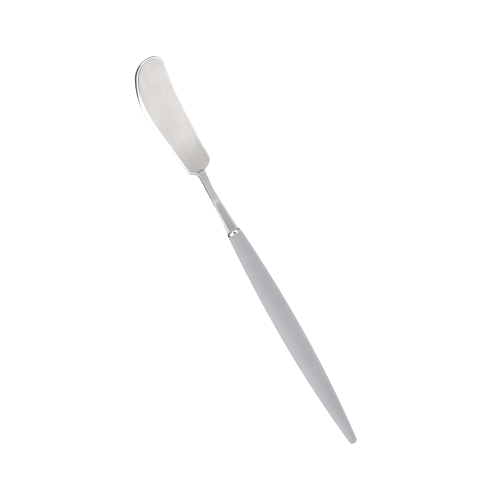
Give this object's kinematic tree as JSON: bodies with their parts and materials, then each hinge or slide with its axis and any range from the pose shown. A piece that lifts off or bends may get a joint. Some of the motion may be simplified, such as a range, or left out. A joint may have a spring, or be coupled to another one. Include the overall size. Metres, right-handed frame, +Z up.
{
  "type": "table spreader",
  "caption": "Small table spreader: broad round-tipped steel blade, slim forged neck, polished ring collar and a slim round tapered grey handle.",
  "frame": {"origin": "middle of the knife's footprint, on the table it lies on (Z = 0)", "axes": "+X along the knife towards the blade's tip, +Y towards the spreading edge, +Z up from the table; the knife's own axis dips 2.07 degrees towards the tip, because the knife rests on the handle's belly and on the tip end of the blade"},
  "size_m": [0.1698, 0.0168, 0.0098],
  "materials": {
    "steel": "satin brushed flats with polished bevels",
    "polished_steel": "mirror polished",
    "resin": "satin",
    "adhesive": "matt"
  },
  "bodies": {
    "root": {"blade_neck_tang": "steel", "collar": "polished_steel", "handle": "resin", "tang_adhesive": "adhesive"}
  },
  "joints": []
}
